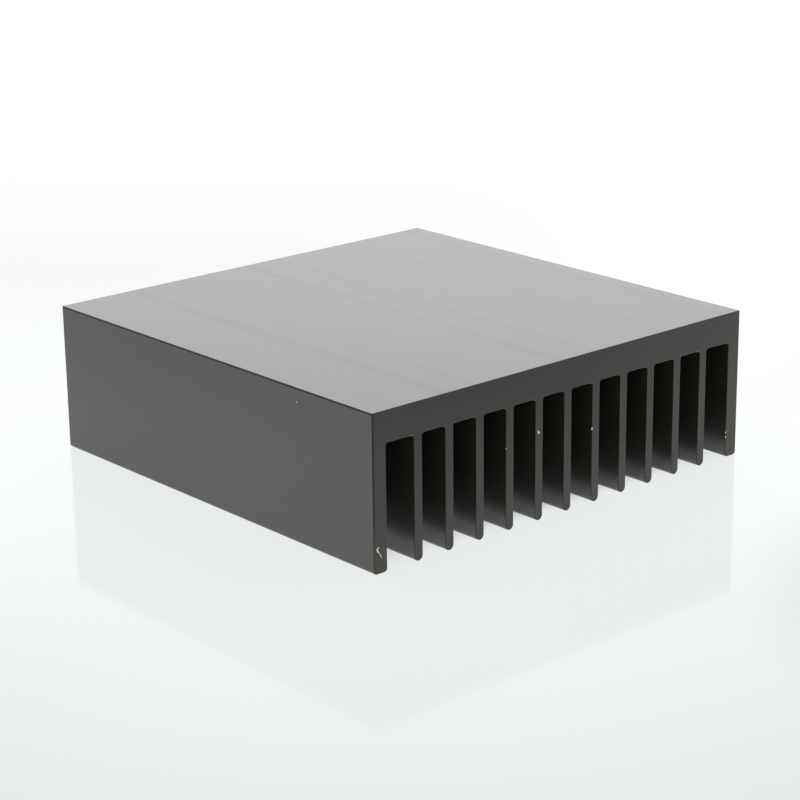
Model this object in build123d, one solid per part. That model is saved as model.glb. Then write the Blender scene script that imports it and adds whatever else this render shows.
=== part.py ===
from build123d import *
import os

# Extruded finned heat sink, one piece of aluminium.
# The mounting face is on top (+Z) and the fins hang below it, so the piece stands on its fin tips.
# X runs across the fins and Y along them. The origin is on the ground, under the middle of the base.
# All sizes are in millimetres.

# Cut length of the profile
LENGTH = 100.0

# Base plate and fins
BASE_THICKNESS = 6.3
FIN_HEIGHT = 25.0
FIN_THICKNESS = 2.0
FIN_SPACE = 5.8
INNER_FIN_COUNT = 11

# The two outermost fins are thicker and stand further from their neighbours
END_FIN_THICKNESS = 3.2
END_FIN_SPACE = 6.8

# Roundings that the die leaves along the profile
ROOT_RADIUS = 0.6
END_TIP_RADIUS = 0.7
OUTER_EDGE_RADIUS = 0.15

# Broken edge round both sawn ends
SAWN_EDGE_BREAK = 0.12

# How close two heights are when they count as one
TOLERANCE = 0.01

# What follows from the sizes above
fin_pitch = FIN_THICKNESS + FIN_SPACE
inner_fins_width = INNER_FIN_COUNT * fin_pitch - FIN_SPACE
width = inner_fins_width + 2 * (END_FIN_SPACE + END_FIN_THICKNESS)
height = BASE_THICKNESS + FIN_HEIGHT


def base_plate():
    """Flat plate that carries the fins, with its outer top corners slightly rounded."""
    plate = Pos(0, height) * Rectangle(width, BASE_THICKNESS, align=(Align.CENTER, Align.MAX))
    top_corners = plate.vertices().group_by(Axis.Y)[-1]
    return fillet(top_corners, OUTER_EDGE_RADIUS)


def inner_fin(x):
    """Thin fin whose free edge is a full round."""
    tip_radius = FIN_THICKNESS / 2
    blade = Pos(x, tip_radius) * Rectangle(FIN_THICKNESS, height - BASE_THICKNESS / 2 - tip_radius,
                                           align=(Align.CENTER, Align.MIN))
    return blade + Pos(x, tip_radius) * Circle(tip_radius)


def end_fin(side):
    """Thick outermost fin with a flat free edge and rounded corners; side is -1 for left and 1 for right."""
    x = side * (width - END_FIN_THICKNESS) / 2
    blade = Pos(x, 0) * Rectangle(END_FIN_THICKNESS, height - BASE_THICKNESS / 2,
                                  align=(Align.CENTER, Align.MIN))
    tip_corners = blade.vertices().group_by(Axis.Y)[0]
    return fillet(tip_corners, END_TIP_RADIUS)


def profile():
    """Cross-section of the extrusion, with a small fillet where each fin meets the base."""
    first_fin = (FIN_THICKNESS - inner_fins_width) / 2
    section = base_plate() + end_fin(-1) + end_fin(1)
    for i in range(INNER_FIN_COUNT):
        section += inner_fin(first_fin + i * fin_pitch)
    roots = section.vertices().filter_by_position(Axis.Y, FIN_HEIGHT - TOLERANCE, FIN_HEIGHT + TOLERANCE)
    return fillet(roots, ROOT_RADIUS)


def heat_sink():
    """The profile run along Y and sawn off square, with the sawn edges broken."""
    bar = extrude(Plane.XZ * profile(), amount=LENGTH / 2, both=True)
    ends = bar.faces().filter_by(Axis.Y)
    return chamfer(ends.edges(), SAWN_EDGE_BREAK)


os.makedirs("parts", exist_ok=True)
part = heat_sink()
part.label = "heat_sink"
export_step(part, "parts/heat_sink.step")
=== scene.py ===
# Black anodised finned heat sink on a pale studio floor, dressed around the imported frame.
import math
from typing import NamedTuple

import bmesh
import bpy
from bpy.props import FloatProperty, FloatVectorProperty, IntProperty, PointerProperty
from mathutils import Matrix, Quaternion, Vector


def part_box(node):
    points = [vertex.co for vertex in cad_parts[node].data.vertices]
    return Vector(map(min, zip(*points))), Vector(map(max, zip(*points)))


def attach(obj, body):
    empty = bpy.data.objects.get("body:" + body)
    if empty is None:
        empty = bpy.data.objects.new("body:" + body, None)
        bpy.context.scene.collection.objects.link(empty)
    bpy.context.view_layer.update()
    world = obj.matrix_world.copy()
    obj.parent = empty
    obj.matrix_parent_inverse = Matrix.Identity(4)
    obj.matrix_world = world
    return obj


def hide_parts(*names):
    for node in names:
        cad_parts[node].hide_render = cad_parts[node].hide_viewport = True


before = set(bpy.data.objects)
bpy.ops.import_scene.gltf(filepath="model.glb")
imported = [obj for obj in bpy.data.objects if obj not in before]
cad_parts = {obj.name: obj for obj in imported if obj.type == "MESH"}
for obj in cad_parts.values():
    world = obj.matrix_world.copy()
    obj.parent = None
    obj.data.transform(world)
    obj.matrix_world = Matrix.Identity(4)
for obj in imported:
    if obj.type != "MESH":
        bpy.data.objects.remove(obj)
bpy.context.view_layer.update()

bl_info = {
    "name": "Finned heat sink",
    "version": (1, 0, 0),
    "blender": (4, 5, 0),
    "location": "3D View > Sidebar > Heat sink",
    "description": "Models an extruded heat sink with its wear and finish, and sets its studio stage",
    "category": "Object",
}

NODE = "heat_sink"
BODY = "root"
PIECE = "finned_extrusion"

MM = 0.001
LOW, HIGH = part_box(NODE)

# Shape of the die's roundings and of the broken sawn edges, where 0.5 is a circle and 1 a square corner
CIRCLE_FULLNESS = 0.5
BREAK_FULLNESS = 0.65
# Height of the painted shade line under each long edge of the mounting face
SHADE_LINE_HEIGHT = 0.39 * MM
# Width of the painted shade line down the left edge of the front
FRONT_SHADE_LINE = 0.34 * MM

# Flat steps that make up each rounding
ROOT_STEPS = 8
FIN_TIP_STEPS = 12
END_TIP_STEPS = 8
OUTER_EDGE_STEPS = 6
BREAK_STEPS = 4
# How far each half of a fin's full round stops short of the middle, where the two are then merged
TIP_GAP = 0.001 * MM
# How close two places are when they count as one, and when two corners are merged
SLACK = 0.01 * MM
MERGE_DISTANCE = 0.004 * MM
# Faces that meet at less than this angle are one flat face
FLAT_ANGLE = math.radians(1.0)
# Faces that meet at less than this angle are shaded as one round surface
SMOOTH_ANGLE = math.radians(32.0)

# A face is square to an axis where this much of its normal lies along it
SQUARE = 0.98
# A broken edge has at least this much of its normal along the fins, and less than a square face has
BROKEN = 0.02

# Places of the materials on the extrusion, after which comes the bare metal of the marks. EDGE is the
# painted shade on the edges and the shade lines.
SKIN, SAWN, EDGE, RIM = range(4)


# Settings


class HeatSinkSizes(bpy.types.PropertyGroup):
    """Sizes of the profile. Width, length and height come from the frame."""

    base_thickness: FloatProperty(
        name="Base thickness", description="Thickness of the plate that carries the fins",
        default=6.3 * MM, unit="LENGTH")
    inner_fins: IntProperty(
        name="Inner fins", description="Number of thin fins between the two outer ones",
        default=11, min=1)
    fin_thickness: FloatProperty(
        name="Fin thickness", description="Thickness of an inner fin",
        default=2.0 * MM, unit="LENGTH")
    fin_space: FloatProperty(
        name="Fin space", description="Clear width between two inner fins",
        default=5.8 * MM, unit="LENGTH")
    end_fin_thickness: FloatProperty(
        name="Outer fin thickness", description="Thickness of the two outermost fins",
        default=3.2 * MM, unit="LENGTH")
    root_radius: FloatProperty(
        name="Root radius", description="Fillet where a fin meets the base",
        default=0.6 * MM, unit="LENGTH")
    end_tip_radius: FloatProperty(
        name="Outer tip radius", description="Rounding at the free edge of the outer fins",
        default=0.7 * MM, unit="LENGTH")
    outer_edge_radius: FloatProperty(
        name="Outer edge radius", description="Rounding of the two long edges of the mounting face",
        default=0.15 * MM, unit="LENGTH")
    sawn_edge_break: FloatProperty(
        name="Sawn edge break", description="Width of the broken edge round the sawn ends",
        default=0.12 * MM, unit="LENGTH")


class HeatSinkFinish(bpy.types.PropertyGroup):
    """Colours and gloss of the anodised skin and of the bare metal in the chips."""

    skin_colour: FloatVectorProperty(
        name="Skin colour", description="Colour of the dyed oxide layer on the extruded faces",
        default=(0.033, 0.0318, 0.025), subtype="COLOR", size=3, min=0.0, max=1.0)
    sawn_colour: FloatVectorProperty(
        name="Sawn colour", description="Colour of the dyed oxide layer on the sawn ends",
        default=(0.0245, 0.0238, 0.0175), subtype="COLOR", size=3, min=0.0, max=1.0)
    bare_colour: FloatVectorProperty(
        name="Bare metal colour", description="Colour of the aluminium where the layer is chipped",
        default=(0.90, 0.905, 0.91), subtype="COLOR", size=3, min=0.0, max=1.0)
    # Painted shade: edges that face left or a little upwards, and the two shade lines, are darkened to this
    # share
    shaded_edge_tone: FloatProperty(
        name="Edge tone", description="Tone of the edges as a share of the sawn ends' tone",
        default=0.65, min=0.0, max=1.0, subtype="FACTOR")
    skin_roughness: FloatProperty(
        name="Skin roughness", description="Roughness of the extruded faces",
        default=0.28, min=0.0, max=1.0, subtype="FACTOR")
    sawn_roughness: FloatProperty(
        name="Sawn roughness", description="Roughness of the two sawn ends",
        default=0.31, min=0.0, max=1.0, subtype="FACTOR")


class HeatSinkStage(bpy.types.PropertyGroup):
    """Floor, light and camera."""

    floor_colour: FloatVectorProperty(
        name="Floor colour", description="Colour of the studio floor",
        default=(0.865, 0.895, 0.873), subtype="COLOR", size=3, min=0.0, max=1.0)
    # The floor's glow is painted light, seen directly and in reflections but not in bounced light
    floor_glow: FloatProperty(
        name="Floor glow", description="Light that comes up through the floor around the heat sink",
        default=0.885, min=0.0, max=2.0)
    # Painted shade: the floor's glow falls off in front of the heat sink
    painted_front_fall: FloatProperty(
        name="Front fall", description="How much of that glow is lost towards the front of the floor",
        default=0.15, min=0.0, max=1.0, subtype="FACTOR")
    # Painted shade on the floor underneath the heat sink, taken off its glow
    painted_under_shade: FloatProperty(
        name="Under fall", description="How much of that glow is lost underneath the heat sink",
        default=0.35, min=0.0, max=1.0, subtype="FACTOR")
    wall_light: FloatProperty(
        name="Wall light", description="Brightness of the brightest studio wall",
        default=2.035, min=0.0)
    upper_wall_light: FloatProperty(
        name="Upper wall light", description="Brightness of the same wall higher up",
        default=1.745, min=0.0)
    dim_wall_light: FloatProperty(
        name="Dim wall light", description="Brightness of the wall across from it",
        default=0.30, min=0.0)
    wall_heading: FloatProperty(
        name="Wall heading", description="Turn from the fins' direction to the brightest wall on the right",
        default=math.radians(50.0), subtype="ANGLE")
    ceiling_light: FloatProperty(
        name="Ceiling light", description="Brightness straight above", default=0.85, min=0.0)
    camera_place: FloatVectorProperty(
        name="Camera place", description="Where the camera stands",
        default=(-309.5 * MM, -356.0 * MM, 162.9 * MM), subtype="TRANSLATION", size=3)
    camera_heading: FloatProperty(
        name="Camera heading", description="Turn from the fins' direction towards the right",
        default=math.radians(41.03), subtype="ANGLE")
    camera_dip: FloatProperty(
        name="Camera dip", description="How far the camera looks down",
        default=math.radians(17.83), subtype="ANGLE")
    camera_roll: FloatProperty(
        name="Camera roll", description="Turn about the line of sight",
        default=math.radians(-0.70), subtype="ANGLE")
    lens: FloatProperty(
        name="Lens", description="Focal length in millimetres", default=105.72, min=1.0)


# Tools for working on a mesh


def start_edit(piece):
    """Makes the piece the only selected object and goes into edit mode with everything selected."""
    bpy.ops.object.select_all(action="DESELECT")
    piece.select_set(True)
    bpy.context.view_layer.objects.active = piece
    bpy.ops.object.mode_set(mode="EDIT")
    bpy.ops.mesh.select_all(action="SELECT")


def pick(piece, kind, test):
    """Selects the faces or edges of the mesh in edit mode that pass the test."""
    bpy.ops.mesh.select_mode(type=kind)
    bpy.ops.mesh.select_all(action="DESELECT")
    shape = bmesh.from_edit_mesh(piece.data)
    elements = shape.faces if kind == "FACE" else shape.edges
    chosen = [element for element in elements if test(element)]
    if not chosen:
        raise RuntimeError(f"nothing to select on {piece.name}")
    for element in chosen:
        element.select_set(True)
    bmesh.update_edit_mesh(piece.data)


def near(a, b):
    """True for two places along an axis that count as one."""
    return abs(a - b) < SLACK


def runs_along_y(edge, x, z):
    """True for an edge along the fins that lies at the given x and z."""
    return all(near(v.co.x, x) and near(v.co.z, z) for v in edge.verts)


def round_edges(piece, places, radius, steps):
    """Rounds the long edges at the given places, each an x and a z."""
    pick(piece, "EDGE", lambda e: any(runs_along_y(e, x, z) for x, z in places))
    bpy.ops.mesh.bevel(
        offset_type="OFFSET", offset=radius, segments=steps, profile=CIRCLE_FULLNESS, affect="EDGES")


def apply_modifier(piece, kind, **settings):
    """Adds a modifier with these settings and applies it."""
    modifier = piece.modifiers.new(kind.title(), kind)
    for name, value in settings.items():
        setattr(modifier, name, value)
    bpy.context.view_layer.objects.active = piece
    bpy.ops.object.modifier_apply(modifier=modifier.name)


def fin_spans(sizes):
    """Left and right face of each fin, from left to right."""
    pitch = sizes.fin_thickness + sizes.fin_space
    first = (LOW.x + HIGH.x - sizes.inner_fins * pitch + sizes.fin_space) / 2
    inner = [(first + i * pitch, first + i * pitch + sizes.fin_thickness) for i in range(sizes.inner_fins)]
    left = (LOW.x, LOW.x + sizes.end_fin_thickness)
    right = (HIGH.x - sizes.end_fin_thickness, HIGH.x)
    return [left, *inner, right]


# Extruded body


class HEATSINK_OT_extrusion(bpy.types.Operator):
    """Model the base plate and its fins as one extruded body"""

    bl_idname = "heat_sink.extrusion"
    bl_label = "Model extrusion"
    bl_options = {"REGISTER", "UNDO"}

    def execute(self, context):
        sizes = context.scene.heat_sink_sizes
        piece = self.add_plate(sizes)
        start_edit(piece)
        self.draw_fins_out(piece, sizes)
        self.round_profile(piece, sizes)
        self.mark_shade_line(piece)
        self.break_sawn_edges(piece, sizes)
        self.split_sawn_faces(piece, sizes)
        bpy.ops.object.mode_set(mode="OBJECT")
        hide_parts(NODE)
        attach(piece, BODY)
        return {"FINISHED"}

    def add_plate(self, sizes):
        """The base plate, as a block at its size and place."""
        bpy.ops.object.select_all(action="DESELECT")
        size = HIGH - LOW
        bpy.ops.mesh.primitive_cube_add(
            size=1.0,
            location=((LOW.x + HIGH.x) / 2, (LOW.y + HIGH.y) / 2, HIGH.z - sizes.base_thickness / 2),
            scale=(size.x, size.y, sizes.base_thickness))
        piece = bpy.context.object
        piece.name = piece.data.name = PIECE
        bpy.ops.object.transform_apply(location=True, rotation=True, scale=True)
        return piece

    def draw_fins_out(self, piece, sizes):
        """Cuts the plate along each fin's faces and draws the fins down to the ground."""
        spans = fin_spans(sizes)
        for x in sorted(x for span in spans for x in span)[1:-1]:
            bpy.ops.mesh.select_all(action="SELECT")
            bpy.ops.mesh.bisect(plane_co=(x, 0.0, 0.0), plane_no=(1.0, 0.0, 0.0))

        def under_fin(face):
            centre = face.calc_center_median()
            return face.normal.z < -SQUARE and any(a < centre.x < b for a, b in spans)

        pick(piece, "FACE", under_fin)
        drop = HIGH.z - sizes.base_thickness - LOW.z
        bpy.ops.mesh.extrude_region_move(TRANSFORM_OT_translate={"value": (0.0, 0.0, -drop)})
        bpy.ops.mesh.select_all(action="SELECT")
        bpy.ops.mesh.dissolve_limited(angle_limit=FLAT_ANGLE)

    def round_profile(self, piece, sizes):
        """Roots, free edges and the outer edges of the mounting face."""
        spans = fin_spans(sizes)
        ceiling = HIGH.z - sizes.base_thickness
        faces = sorted(x for span in spans for x in span)[1:-1]
        round_edges(piece, [(x, ceiling) for x in faces], sizes.root_radius, ROOT_STEPS)
        inner = [x for span in spans[1:-1] for x in span]
        round_edges(piece, [(x, LOW.z) for x in inner], sizes.fin_thickness / 2 - TIP_GAP, FIN_TIP_STEPS)
        outer = [x for span in (spans[0], spans[-1]) for x in span]
        round_edges(piece, [(x, LOW.z) for x in outer], sizes.end_tip_radius, END_TIP_STEPS)
        top = [(LOW.x, HIGH.z), (HIGH.x, HIGH.z)]
        round_edges(piece, top, sizes.outer_edge_radius, OUTER_EDGE_STEPS)
        bpy.ops.mesh.select_all(action="SELECT")
        bpy.ops.mesh.remove_doubles(threshold=MERGE_DISTANCE)

    def mark_shade_line(self, piece):
        """Cuts the two outer sides just under the mounting face, where the painted shade line ends."""

        def on_outer_side(face):
            return abs(face.normal.x) > SQUARE and abs(face.calc_center_median().x) > HIGH.x - SLACK

        pick(piece, "FACE", on_outer_side)
        bpy.ops.mesh.bisect(plane_co=(0.0, 0.0, HIGH.z - SHADE_LINE_HEIGHT), plane_no=(0.0, 0.0, 1.0))

    def break_sawn_edges(self, piece, sizes):
        """A small broken edge round both sawn ends."""
        pick(piece, "FACE", lambda face: abs(face.normal.y) > SQUARE)
        bpy.ops.mesh.region_to_loop()
        bpy.ops.mesh.bevel(
            offset_type="OFFSET", offset=sizes.sawn_edge_break, segments=BREAK_STEPS,
            profile=BREAK_FULLNESS, affect="EDGES")

    def split_sawn_faces(self, piece, sizes):
        """Cuts both sawn faces below the roots, at the painted shade line's end and down the middle of each
        fin.
        """
        root = HIGH.z - sizes.base_thickness - sizes.root_radius - sizes.sawn_edge_break
        cuts = [((0.0, 0.0, root), (0.0, 0.0, 1.0))]
        places = [LOW.x + FRONT_SHADE_LINE] + [(a + b) / 2 for a, b in fin_spans(sizes)]
        cuts += [((x, 0.0, 0.0), (1.0, 0.0, 0.0)) for x in places]
        for place, way in cuts:
            pick(piece, "FACE", lambda face: abs(face.normal.y) > SQUARE)
            bpy.ops.mesh.bisect(plane_co=place, plane_no=way)


# Wear


class Mark(NamedTuple):
    """A chip or scratch: where it is on its face and its size, in millimetres, and its lean in degrees."""

    along: float
    up: float
    length: float
    width: float
    lean: float


# In the front end, placed from the left side and up from the ground. A positive lean is to the right.
FRONT_MARKS = (
    Mark(0.92, 5.02, 0.80, 0.42, 52.0),
    Mark(1.04, 4.40, 1.05, 0.26, -42.0),
    Mark(1.62, 3.52, 1.30, 0.12, -26.0),
    Mark(33.42, 16.78, 0.38, 0.19, 6.0),
    Mark(33.40, 15.70, 1.10, 0.07, 0.0),
    Mark(42.02, 18.10, 1.00, 0.26, -12.0),
    Mark(42.20, 18.00, 0.60, 0.26, 78.0),
    Mark(49.12, 7.90, 0.26, 0.07, 0.0),
    Mark(56.80, 15.40, 0.60, 0.44, 15.0),
    Mark(72.58, 6.30, 0.26, 0.07, 0.0),
    Mark(96.85, 5.40, 0.46, 0.32, 10.0),
    Mark(96.86, 4.40, 0.40, 0.26, -20.0),
    Mark(98.20, 18.50, 0.16, 0.07, 0.0),
)
# In the left side, placed back from the front end and up from the ground
SIDE_MARKS = (
    Mark(21.7, 28.4, 0.30, 0.28, 0.0),
)
# Depth of a mark as a share of its width
MARK_DEPTH_SHARE = 0.45
# How far a pit's corners are moved about, as a share of its half size
MARK_ROUGHNESS = 0.12


class HEATSINK_OT_wear(bpy.types.Operator):
    """Chip and scratch the sawn end and the side down to bare metal"""

    bl_idname = "heat_sink.wear"
    bl_label = "Cut wear marks"
    bl_options = {"REGISTER", "UNDO"}

    def execute(self, context):
        piece = bpy.data.objects[PIECE]
        bare = bpy.data.materials[BARE_NAME]
        pits = [self.add_pit(mark, i, bare, on_side=False) for i, mark in enumerate(FRONT_MARKS)]
        pits += [self.add_pit(mark, i + len(pits), bare, on_side=True) for i, mark in enumerate(SIDE_MARKS)]
        bpy.ops.object.select_all(action="DESELECT")
        for pit in pits:
            pit.select_set(True)
        context.view_layer.objects.active = pits[0]
        bpy.ops.object.join()
        cutter = context.object
        apply_modifier(
            piece, "BOOLEAN", object=cutter, operation="DIFFERENCE", solver="EXACT",
            material_mode="TRANSFER", use_self=True)
        bpy.data.objects.remove(cutter)
        bpy.ops.object.select_all(action="DESELECT")
        piece.select_set(True)
        context.view_layer.objects.active = piece
        bpy.ops.object.shade_smooth_by_angle(angle=SMOOTH_ANGLE)
        apply_modifier(piece, "WEIGHTED_NORMAL", mode="FACE_AREA", weight=100, keep_sharp=True)
        return {"FINISHED"}

    def add_pit(self, mark, seed, bare, on_side):
        """One irregular, flattened pit with its long axis upright, leaned and put on its face."""
        bpy.ops.object.select_all(action="DESELECT")
        if on_side:
            place = (LOW.x, LOW.y + mark.along * MM, LOW.z + mark.up * MM)
            shape = (mark.width * MARK_DEPTH_SHARE, mark.width / 2, mark.length / 2)
        else:
            place = (LOW.x + mark.along * MM, LOW.y, LOW.z + mark.up * MM)
            shape = (mark.width / 2, mark.width * MARK_DEPTH_SHARE, mark.length / 2)
        axis = (1.0, 0.0, 0.0) if on_side else (0.0, 1.0, 0.0)
        bpy.ops.mesh.primitive_ico_sphere_add(subdivisions=2, radius=1.0, location=place)
        pit = bpy.context.object
        pit.name = f"pit_{seed:02d}"
        pit.scale = Vector(shape) * MM
        pit.rotation_mode = "AXIS_ANGLE"
        pit.rotation_axis_angle = (math.radians(mark.lean), *axis)
        start_edit(pit)
        bpy.ops.transform.vertex_random(offset=MARK_ROUGHNESS, uniform=1.0, seed=seed)
        bpy.ops.object.mode_set(mode="OBJECT")
        bpy.ops.object.transform_apply(location=True, rotation=True, scale=True)
        pit.data.materials.append(bare)
        return pit


# Materials


SKIN_NAME = "black_anodised_skin"
SAWN_NAME = "black_anodised_sawn_end"
SHADED_EDGE_NAME = "black_anodised_edge"
RIM_NAME = "rubbed_rim"
BARE_NAME = "bare_aluminium"

# Rows and spacing of the nodes in the node editor
NODE_ROWS = 6
NODE_SPACING = (240, 220)


class DieLine(NamedTuple):
    """A faint line drawn along the mounting face, placed from the left side, in millimetres."""

    x: float
    half_width: float
    strength: float


DIE_LINES = (
    DieLine(17.8, 2.3, 0.75),
    DieLine(16.9, 0.4, 0.4),
    DieLine(25.3, 1.3, 0.45),
    DieLine(48.1, 1.6, 1.0),
    DieLine(57.0, 1.4, 0.65),
    DieLine(78.2, 3.2, 0.38),
    DieLine(95.2, 1.8, 0.75),
)


class Grain(NamedTuple):
    """A noise pattern with so many grains to the metre, drawn out along an axis by a stretch below 1."""

    scale: float
    stretch: tuple = (1.0, 1.0, 1.0)
    detail: float = 2.0
    roughness: float = 0.5


DRAWN_STREAKS = Grain(900.0, stretch=(1.0, 0.012, 1.0), detail=3.0)
SKIN_CLOUD = Grain(30.0, stretch=(1.0, 0.4, 1.0))
DIE_LINE_PATCHES = Grain(40.0, stretch=(1.6, 1.0, 1.0), detail=3.0)
SAW_LINES = Grain(1500.0, stretch=(0.06, 1.0, 1.0), detail=3.0)
SAWN_CLOUD = Grain(45.0)
FINE_GRAIN = Grain(5200.0, detail=1.0)
EDGE_CLOUD = Grain(700.0)
RIM_PATCHES = Grain(260.0, detail=3.0, roughness=0.6)
BARE_GRAIN = Grain(6000.0)
FLOOR_CLOUD = Grain(3.0)

# Between which shares of the plain tone each pattern moves it
STREAK_TONE = (0.94, 1.06)
SKIN_CLOUD_TONE = (0.94, 1.06)
SAW_TONE = (0.94, 1.06)
SAWN_CLOUD_TONE = (0.93, 1.07)
EDGE_CLOUD_TONE = (0.8, 1.2)
BARE_TONE = (0.92, 1.05)
FLOOR_TONE = (0.99, 1.01)
# What each pattern takes off the plain roughness and adds to it
STREAK_ROUGHNESS = (-0.006, 0.006)
SKIN_FINE_ROUGHNESS = (-0.015, 0.015)
SAW_ROUGHNESS = (-0.03, 0.03)
SAWN_FINE_ROUGHNESS = (-0.02, 0.02)
# Roughness of the other surfaces, a range where a pattern moves it
EDGE_ROUGHNESS = (0.36, 0.44)
BARE_ROUGHNESS = (0.3, 0.5)
RIM_ROUGHNESS = 0.4
FLOOR_ROUGHNESS = 0.08
# Mirror strength of the surfaces, as a refractive index
SKIN_IOR = 1.88
SAWN_IOR = 1.60
EDGE_IOR = 1.40
FLOOR_IOR = 1.125
# Fine relief: its depth, its strength on the skin and on the sawn ends, and there each pattern's share
RELIEF_DEPTH = 0.01 * MM
SKIN_RELIEF = 0.03
SAWN_RELIEF = 0.08
RELIEF_SHARE = 0.5

# What a die line at full strength takes off the tone and adds to the roughness
DIE_LINE_TONE = 0.13
DIE_LINE_ROUGHNESS = 0.033
# Between which strengths its patches break it up, and how far below the mounting face it ends
DIE_LINE_BREAKS = (-0.1, 1.6)
DIE_LINE_DEPTH = 0.5 * MM
# Heights above the ground between which the lighter tone of the fin tips passes into the plain one
TIP_BAND = (2.0 * MM, 11.0 * MM)
# Tone at the very tips, as a share of the sawn ends' plain one
SAWN_TIP_TONE = 1.7
EDGE_TIP_TONE = 2.6
# Noise between which a rim goes from its faintest to its lightest, and its tone at both as a share of bare
# metal's
RIM_BAND = (0.42, 0.62)
RIM_TONE = (0.08, 0.45)

# Parts of a broken edge's normal: the least to the left and the range upwards where it gets painted shade,
# and the least downwards where it is the rim of a slot's ceiling
DARK_LEFT = 0.1
DARK_UP = (0.1, 0.55)
RIM_DOWN = 0.3
# Least part sideways of the normal of a face in the painted shade line under the mounting face
DARK_SIDE = 0.8
# Least part along the fins of the normal of a face that has the sawn ends' finish
SAWN_ALONG = 0.3


def add_node(tree, kind, inputs=None, **settings):
    """Adds a node; inputs holds a plain value or the socket to link for each named input."""
    made = tree.nodes.new(kind)
    column, row = divmod(len(tree.nodes), NODE_ROWS)
    made.location = (column * NODE_SPACING[0], -row * NODE_SPACING[1])
    for name, value in settings.items():
        setattr(made, name, value)
    for name, value in (inputs or {}).items():
        if isinstance(value, bpy.types.NodeSocket):
            tree.links.new(value, made.inputs[name])
        else:
            made.inputs[name].default_value = value
    return made


def maths(tree, operation, a, b=0.0, clamp=False):
    """The result of one sum."""
    return add_node(tree, "ShaderNodeMath", {0: a, 1: b}, operation=operation, use_clamp=clamp).outputs[0]


def map_range(tree, value, before, after, smooth=False):
    """Maps a value from one range to another, straight or eased at both ends, and holds the ends beyond."""
    kind = "SMOOTHSTEP" if smooth else "LINEAR"
    inputs = {
        "Value": value,
        "From Min": before[0], "From Max": before[1],
        "To Min": after[0], "To Max": after[1],
    }
    return add_node(tree, "ShaderNodeMapRange", inputs, interpolation_type=kind).outputs["Result"]


def spread(tree, pattern, reach):
    """Spreads a pattern between 0 and 1 over the reach."""
    return map_range(tree, pattern, (0.0, 1.0), reach)


def start_material(name):
    """An empty node material with its output, its shader and its object coordinates."""
    material = bpy.data.materials.new(name)
    material.use_nodes = True
    tree = material.node_tree
    tree.nodes.clear()
    output = add_node(tree, "ShaderNodeOutputMaterial")
    shader = add_node(tree, "ShaderNodeBsdfPrincipled")
    tree.links.new(shader.outputs["BSDF"], output.inputs["Surface"])
    coords = add_node(tree, "ShaderNodeTexCoord").outputs["Object"]
    return material, tree, shader, coords


def output_of(tree):
    """The output node of a material."""
    return next(node for node in tree.nodes if node.type == "OUTPUT_MATERIAL")


def seen_directly(tree):
    """1 for what the camera sees directly, in a reflection or through glass, and 0 for bounced light."""
    path = add_node(tree, "ShaderNodeLightPath")
    seen = maths(tree, "ADD", path.outputs["Is Camera Ray"], path.outputs["Is Glossy Ray"], clamp=True)
    return maths(tree, "ADD", seen, path.outputs["Is Transmission Ray"], clamp=True)


def noise(tree, coords, grain):
    """The grain's pattern, between 0 and 1."""
    mapping = add_node(tree, "ShaderNodeMapping", {"Vector": coords, "Scale": grain.stretch})
    made = add_node(tree, "ShaderNodeTexNoise", {
        "Vector": mapping.outputs["Vector"], "Scale": grain.scale, "Detail": grain.detail,
        "Roughness": grain.roughness})
    return made.outputs["Fac"]


def tint(tree, colour, amount):
    """The colour made lighter or darker by an amount that is 1 where nothing changes."""
    made = add_node(tree, "ShaderNodeVectorMath", {0: (*colour,), "Scale": amount}, operation="SCALE")
    return made.outputs["Vector"]


def add_relief(tree, shader, height, strength):
    """Gives the shader the fine relief of a pattern."""
    bump = add_node(tree, "ShaderNodeBump", {
        "Strength": strength, "Distance": RELIEF_DEPTH, "Height": height})
    tree.links.new(bump.outputs["Normal"], shader.inputs["Normal"])


def die_line_mask(tree, coords):
    """Strength of the drawn lines on the mounting face, broken up along their length."""
    place = add_node(tree, "ShaderNodeSeparateXYZ", {"Vector": coords})
    total = 0.0
    for line in DIE_LINES:
        off = maths(tree, "ABSOLUTE", maths(tree, "SUBTRACT", place.outputs["X"], LOW.x + line.x * MM))
        pulse = map_range(tree, off, (0.0, line.half_width * MM), (line.strength, 0.0), smooth=True)
        total = maths(tree, "ADD", total, pulse)
    patches = spread(tree, noise(tree, coords, DIE_LINE_PATCHES), DIE_LINE_BREAKS)
    on_top = maths(tree, "GREATER_THAN", place.outputs["Z"], HIGH.z - DIE_LINE_DEPTH)
    return maths(tree, "MULTIPLY", maths(tree, "MULTIPLY", total, patches), on_top)


def tip_tone(tree, coords, at_tip, above):
    """The lighter tone at the fin tips near the ground, and the plain one above them."""
    place = add_node(tree, "ShaderNodeSeparateXYZ", {"Vector": coords})
    band = [LOW.z + height for height in TIP_BAND]
    return map_range(tree, place.outputs["Z"], band, (at_tip, above))


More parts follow.
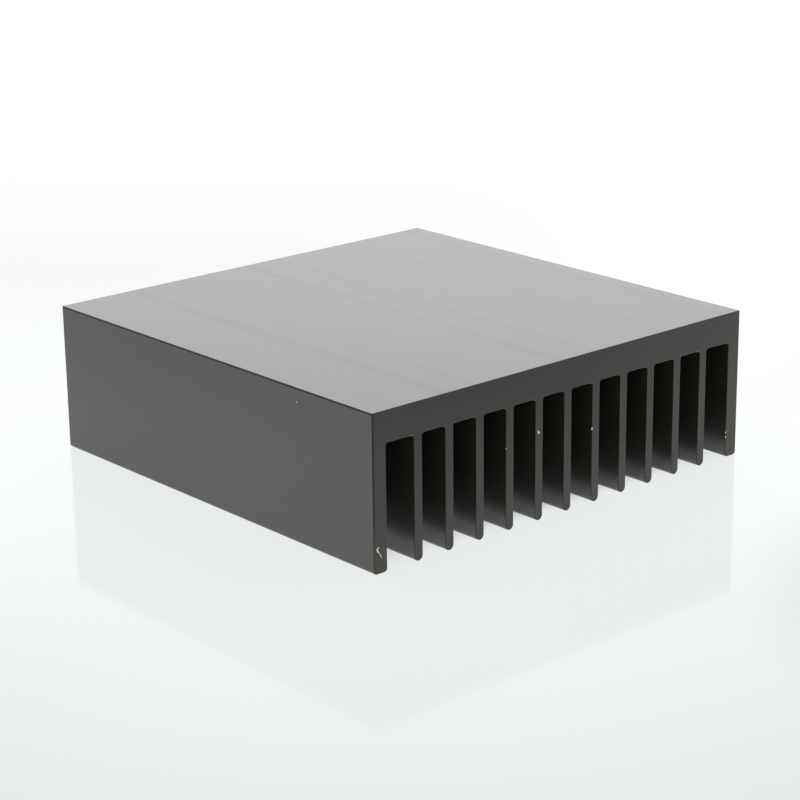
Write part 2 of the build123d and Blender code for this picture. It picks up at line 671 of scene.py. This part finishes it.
def make_skin(finish):
    """Anodised extruded faces: satin, with fine streaks along the fins and faint die lines on top."""
    material, tree, shader, coords = start_material(SKIN_NAME)
    streaks = noise(tree, coords, DRAWN_STREAKS)
    cloud = noise(tree, coords, SKIN_CLOUD)
    fine = noise(tree, coords, FINE_GRAIN)
    lines = die_line_mask(tree, coords)
    tone = maths(tree, "MULTIPLY", spread(tree, streaks, STREAK_TONE), spread(tree, cloud, SKIN_CLOUD_TONE))
    tone = maths(tree, "SUBTRACT", tone, maths(tree, "MULTIPLY", lines, DIE_LINE_TONE))
    tree.links.new(tint(tree, finish.skin_colour, tone), shader.inputs["Base Color"])
    rough = spread(tree, streaks, STREAK_ROUGHNESS)
    rough = maths(tree, "ADD", rough, spread(tree, fine, SKIN_FINE_ROUGHNESS))
    rough = maths(tree, "ADD", rough, maths(tree, "MULTIPLY", lines, DIE_LINE_ROUGHNESS))
    tree.links.new(maths(tree, "ADD", rough, finish.skin_roughness), shader.inputs["Roughness"])
    add_relief(tree, shader, fine, SKIN_RELIEF)
    shader.inputs["IOR"].default_value = SKIN_IOR
    return material


def make_sawn(finish):
    """Anodised sawn ends: the same black, a little duller, with faint saw lines."""
    material, tree, shader, coords = start_material(SAWN_NAME)
    saw = noise(tree, coords, SAW_LINES)
    fine = noise(tree, coords, FINE_GRAIN)
    cloud = noise(tree, coords, SAWN_CLOUD)
    tone = maths(tree, "MULTIPLY", spread(tree, saw, SAW_TONE), spread(tree, cloud, SAWN_CLOUD_TONE))
    tone = maths(tree, "MULTIPLY", tone, tip_tone(tree, coords, SAWN_TIP_TONE, 1.0))
    tree.links.new(tint(tree, finish.sawn_colour, tone), shader.inputs["Base Color"])
    rough = spread(tree, saw, SAW_ROUGHNESS)
    rough = maths(tree, "ADD", rough, spread(tree, fine, SAWN_FINE_ROUGHNESS))
    tree.links.new(maths(tree, "ADD", rough, finish.sawn_roughness), shader.inputs["Roughness"])
    saw_height = maths(tree, "MULTIPLY", saw, RELIEF_SHARE)
    fine_height = maths(tree, "MULTIPLY", fine, RELIEF_SHARE)
    add_relief(tree, shader, maths(tree, "ADD", saw_height, fine_height), SAWN_RELIEF)
    shader.inputs["IOR"].default_value = SAWN_IOR
    return material


def make_shaded_edge(finish):
    """Painted shade on the edges and shade lines: darker and duller than the faces, but lighter towards the
    fin tips.
    """
    material, tree, shader, coords = start_material(SHADED_EDGE_NAME)
    cloud = noise(tree, coords, EDGE_CLOUD)
    tone = tip_tone(tree, coords, EDGE_TIP_TONE, finish.shaded_edge_tone)
    tone = maths(tree, "MULTIPLY", tone, spread(tree, cloud, EDGE_CLOUD_TONE))
    tree.links.new(tint(tree, finish.sawn_colour, tone), shader.inputs["Base Color"])
    tree.links.new(spread(tree, cloud, EDGE_ROUGHNESS), shader.inputs["Roughness"])
    shader.inputs["IOR"].default_value = EDGE_IOR
    return material


def make_rim(finish):
    """The front edge of a slot's ceiling, lighter than the black faces, and more so in patches."""
    material, tree, shader, coords = start_material(RIM_NAME)
    rim_share = map_range(tree, noise(tree, coords, RIM_PATCHES), RIM_BAND, RIM_TONE)
    tree.links.new(tint(tree, finish.bare_colour, rim_share), shader.inputs["Base Color"])
    shader.inputs["Roughness"].default_value = RIM_ROUGHNESS
    return material


def make_bare(finish):
    """Bare aluminium in the chips and scratches."""
    material, tree, shader, coords = start_material(BARE_NAME)
    fine = noise(tree, coords, BARE_GRAIN)
    tone = spread(tree, fine, BARE_TONE)
    tree.links.new(tint(tree, finish.bare_colour, tone), shader.inputs["Base Color"])
    tree.links.new(spread(tree, fine, BARE_ROUGHNESS), shader.inputs["Roughness"])
    shader.inputs["Metallic"].default_value = 1.0
    return material


def on_broken_edge(face):
    """True for a face of the broken edge round a sawn end."""
    return BROKEN < abs(face.normal.y) < SQUARE


def is_shaded_edge(face):
    """True for a face that gets painted shade: a broken edge that faces left or a little upwards, and the
    two shade lines.
    """
    way = face.normal
    if way.y < -SQUARE:
        return face.center.x < LOW.x + FRONT_SHADE_LINE
    if on_broken_edge(face):
        return DARK_UP[0] < way.z < DARK_UP[1] or way.x < -DARK_LEFT
    return abs(way.x) > DARK_SIDE and face.center.z > HIGH.z - SHADE_LINE_HEIGHT


def is_ceiling_rim(face, sizes):
    """True for a broken edge at the ceiling of a slot."""
    low = HIGH.z - sizes.base_thickness - sizes.root_radius
    return on_broken_edge(face) and face.normal.z < -RIM_DOWN and face.center.z > low


class HEATSINK_OT_finish(bpy.types.Operator):
    """Make the anodised, painted-shade edge, rim and bare metal materials and give them to the extrusion's
    faces
    """

    bl_idname = "heat_sink.finish"
    bl_label = "Anodise surfaces"
    bl_options = {"REGISTER", "UNDO"}

    def execute(self, context):
        piece = bpy.data.objects[PIECE]
        for make in (make_skin, make_sawn, make_shaded_edge, make_rim, make_bare):
            piece.data.materials.append(make(context.scene.heat_sink_finish))
        for face in piece.data.polygons:
            # Slot rims get the lighter rim; edges that face left or a little upwards and the shade lines
            # get painted shade
            if is_ceiling_rim(face, context.scene.heat_sink_sizes):
                face.material_index = RIM
            elif is_shaded_edge(face):
                face.material_index = EDGE
            else:
                face.material_index = SAWN if abs(face.normal.y) > SAWN_ALONG else SKIN
        return {"FINISHED"}


# Stage


FLOOR_NAME = "studio_floor"
# Width of the floor, in metres
FLOOR_SIZE = 6.0
# How much of its colour the floor shows under the light that falls on it, beside its own glow
FLOOR_LIT_SHARE = 0.14
# Distance from the heat sink over which the painted glow falls off, in front
FRONT_REACH = 160.0 * MM
# Distances in from the heat sink's outline between which the glow falls off underneath, as painted shade
UNDER_SHADE_BAND = (1.5 * MM, 8.0 * MM)
# Share of that painted shade at the left side, from where it grows until it is whole at the middle
UNDER_SHADE_LEFT_SHARE = 0.3


class PaintedGlowPatch(NamedTuple):
    """An oval part of the floor where its glow is painted brighter or darker: middle, half sizes in
    millimetres, and gain.
    """

    x: float
    y: float
    half_x: float
    half_y: float
    gain: float


# Painted pools of shade out on the left, out in front and behind, and of light beside the right end of the
# front
PAINTED_GLOW_PATCHES = (
    PaintedGlowPatch(-190.0, 110.0, 125.0, 150.0, -0.35),
    PaintedGlowPatch(60.0, -160.0, 100.0, 90.0, -0.40),
    PaintedGlowPatch(112.0, -75.0, 60.0, 45.0, 0.24),
    PaintedGlowPatch(110.0, 290.0, 260.0, 300.0, -0.20),
)
# Share of a patch's half size up to which it keeps its full gain
PATCH_CORE = 0.4
# Where the walls pass into their upper part and that into the ceiling, as the sine of the angle of height
WALL_TOP = (0.30, 0.46)
CEILING_EDGE = (0.62, 0.80)
# Power by which the walls dim away from the brightest one
WALL_FOCUS = 3.0
# Width of the camera's sensor in millimetres, and the nearest place that it sees
SENSOR_WIDTH = 36.0
CLIP_START = 10.0 * MM


class HEATSINK_OT_stage(bpy.types.Operator):
    """Lay the floor, light the studio and set the camera"""

    bl_idname = "heat_sink.stage"
    bl_label = "Set stage"
    bl_options = {"REGISTER", "UNDO"}

    def execute(self, context):
        stage = context.scene.heat_sink_stage
        self.lay_floor(stage)
        self.light_world(context, stage)
        self.set_camera(context, stage)
        context.scene.view_settings.view_transform = "Standard"
        return {"FINISHED"}

    def lay_floor(self, stage):
        """Pale floor with a painted glow, as of a translucent floor lit partly from below, seen directly
        and in reflections, with a weak mirror image of what stands on it.
        """
        bpy.ops.object.select_all(action="DESELECT")
        bpy.ops.mesh.primitive_plane_add(size=FLOOR_SIZE, location=(0.0, 0.0, LOW.z))
        floor = bpy.context.object
        floor.name = floor.data.name = FLOOR_NAME
        bpy.ops.object.transform_apply(location=True, rotation=False, scale=False)
        material, tree, shader, coords = start_material(FLOOR_NAME)
        cloud = spread(tree, noise(tree, coords, FLOOR_CLOUD), FLOOR_TONE)
        lit = maths(tree, "MULTIPLY", cloud, FLOOR_LIT_SHARE)
        tree.links.new(tint(tree, stage.floor_colour, lit), shader.inputs["Base Color"])
        tree.links.new(tint(tree, stage.floor_colour, cloud), shader.inputs["Emission Color"])
        tree.links.new(self.painted_glow_strength(tree, coords, stage), shader.inputs["Emission Strength"])
        shader.inputs["Roughness"].default_value = FLOOR_ROUGHNESS
        shader.inputs["IOR"].default_value = FLOOR_IOR
        plain = add_node(tree, "ShaderNodeBsdfDiffuse", {"Color": (*stage.floor_colour, 1.0)})
        mix = add_node(tree, "ShaderNodeMixShader", {
            0: seen_directly(tree), 1: plain.outputs["BSDF"], 2: shader.outputs["BSDF"]})
        tree.links.new(mix.outputs["Shader"], output_of(tree).inputs["Surface"])
        floor.data.materials.append(material)

    def painted_glow_strength(self, tree, coords, stage):
        """Strength of the floor's painted glow, with painted shade in front of the heat sink and underneath
        it, and painted patches.
        """
        place = add_node(tree, "ShaderNodeSeparateXYZ", {"Vector": coords})
        outside = [
            maths(tree, "SUBTRACT", maths(tree, "ABSOLUTE", place.outputs[axis]), reach)
            for axis, reach in (("X", HIGH.x), ("Y", HIGH.y))]
        away = self.length_of(tree, *(maths(tree, "MAXIMUM", off, 0.0) for off in outside))
        fallen = map_range(tree, away, (0.0, FRONT_REACH), (0.0, stage.painted_front_fall), smooth=True)
        in_front = map_range(tree, place.outputs["Y"], (LOW.y, HIGH.y), (1.0, 0.0), smooth=True)
        kept = maths(tree, "SUBTRACT", 1.0, maths(tree, "MULTIPLY", fallen, in_front))
        # Painted shade underneath the heat sink, less at the left
        inside = maths(tree, "MULTIPLY", maths(tree, "MAXIMUM", *outside), -1.0)
        under = map_range(tree, inside, UNDER_SHADE_BAND, (0.0, stage.painted_under_shade), smooth=True)
        share = map_range(tree, place.outputs["X"], (LOW.x, (LOW.x + HIGH.x) / 2), (UNDER_SHADE_LEFT_SHARE, 1.0))
        kept = maths(tree, "SUBTRACT", kept, maths(tree, "MULTIPLY", under, share))
        for patch in PAINTED_GLOW_PATCHES:
            kept = maths(tree, "ADD", kept, self.painted_patch_gain(tree, place, patch))
        return maths(tree, "MULTIPLY", kept, stage.floor_glow)

    def length_of(self, tree, a, b):
        """Length of a flat vector from its two parts."""
        squares = maths(tree, "ADD", maths(tree, "MULTIPLY", a, a), maths(tree, "MULTIPLY", b, b))
        return maths(tree, "SQRT", squares)

    def painted_patch_gain(self, tree, place, patch):
        """What a painted patch adds to the floor's glow, from its gain in the middle to nothing at its rim.
        """
        shares = []
        for axis, middle, half in (("X", patch.x, patch.half_x), ("Y", patch.y, patch.half_y)):
            off = maths(tree, "SUBTRACT", place.outputs[axis], middle * MM)
            shares.append(maths(tree, "DIVIDE", off, half * MM))
        out = self.length_of(tree, *shares)
        return map_range(tree, out, (PATCH_CORE, 1.0), (patch.gain, 0.0), smooth=True)

    def light_world(self, context, stage):
        """Soft studio walls, brightest to the right behind the heat sink, and a dimmer ceiling."""
        world = bpy.data.worlds.new("studio_light")
        context.scene.world = world
        world.use_nodes = True
        tree = world.node_tree
        tree.nodes.clear()
        output = add_node(tree, "ShaderNodeOutputWorld")
        way = add_node(tree, "ShaderNodeTexCoord").outputs["Generated"]
        heading = (math.sin(stage.wall_heading), math.cos(stage.wall_heading), 0.0)
        facing = add_node(tree, "ShaderNodeVectorMath", {0: way, 1: heading}, operation="DOT_PRODUCT")
        towards = map_range(tree, facing.outputs["Value"], (-1.0, 1.0), (0.0, 1.0))
        towards = maths(tree, "POWER", towards, WALL_FOCUS)
        wall = spread(tree, towards, (stage.dim_wall_light, stage.wall_light))
        upper_wall = spread(tree, towards, (stage.dim_wall_light, stage.upper_wall_light))
        rise = add_node(tree, "ShaderNodeSeparateXYZ", {"Vector": way}).outputs["Z"]
        strength = self.blend(tree, rise, WALL_TOP, wall, upper_wall)
        strength = self.blend(tree, rise, CEILING_EDGE, strength, stage.ceiling_light)
        light = add_node(tree, "ShaderNodeBackground", {
            "Color": (1.0, 1.0, 1.0, 1.0), "Strength": strength})
        tree.links.new(light.outputs["Background"], output.inputs["Surface"])

    def blend(self, tree, rise, band, below, above):
        """Passes from one value to another over a band of heights."""
        share = map_range(tree, rise, band, (0.0, 1.0), smooth=True)
        return add_node(tree, "ShaderNodeMix", {"Factor": share, "A": below, "B": above}).outputs["Result"]

    def set_camera(self, context, stage):
        """Camera at the photograph's place, heading and dip."""
        bpy.ops.object.select_all(action="DESELECT")
        bpy.ops.object.camera_add(location=stage.camera_place)
        camera = bpy.context.object
        camera.name = camera.data.name = "photo_camera"
        camera.rotation_mode = "QUATERNION"
        heading = Quaternion((0.0, 0.0, 1.0), -stage.camera_heading)
        dip = Quaternion((1.0, 0.0, 0.0), math.radians(90.0) - stage.camera_dip)
        roll = Quaternion((0.0, 0.0, 1.0), stage.camera_roll)
        camera.rotation_quaternion = heading @ dip @ roll
        camera.data.sensor_width = SENSOR_WIDTH
        camera.data.lens = stage.lens
        camera.data.clip_start = CLIP_START
        context.scene.camera = camera


# Sidebar panel and registration


class HEATSINK_PT_sidebar(bpy.types.Panel):
    """Sizes, finish and stage, with a button for each step"""

    bl_idname = "HEATSINK_PT_sidebar"
    bl_label = "Finned heat sink"
    bl_space_type = "VIEW_3D"
    bl_region_type = "UI"
    bl_category = "Heat sink"

    def draw(self, context):
        groups = (
            (context.scene.heat_sink_sizes, (HEATSINK_OT_extrusion,)),
            (context.scene.heat_sink_finish, (HEATSINK_OT_finish, HEATSINK_OT_wear)),
            (context.scene.heat_sink_stage, (HEATSINK_OT_stage,)),
        )
        for settings, steps in groups:
            box = self.layout.box()
            for name in settings.__annotations__:
                box.prop(settings, name)
            for step in steps:
                box.operator(step.bl_idname)


CLASSES = (
    HeatSinkSizes,
    HeatSinkFinish,
    HeatSinkStage,
    HEATSINK_OT_extrusion,
    HEATSINK_OT_finish,
    HEATSINK_OT_wear,
    HEATSINK_OT_stage,
    HEATSINK_PT_sidebar,
)


def register():
    """Makes the classes and the settings known to Blender."""
    for cls in CLASSES:
        bpy.utils.register_class(cls)
    bpy.types.Scene.heat_sink_sizes = PointerProperty(type=HeatSinkSizes)
    bpy.types.Scene.heat_sink_finish = PointerProperty(type=HeatSinkFinish)
    bpy.types.Scene.heat_sink_stage = PointerProperty(type=HeatSinkStage)


def unregister():
    """Takes the settings and the classes out again."""
    del bpy.types.Scene.heat_sink_stage
    del bpy.types.Scene.heat_sink_finish
    del bpy.types.Scene.heat_sink_sizes
    for cls in reversed(CLASSES):
        bpy.utils.unregister_class(cls)


def main():
    """Builds the dressed part on its stage."""
    register()
    bpy.ops.heat_sink.extrusion()
    bpy.ops.heat_sink.finish()
    bpy.ops.heat_sink.wear()
    bpy.ops.heat_sink.stage()


if __name__ == "__main__":
    main()
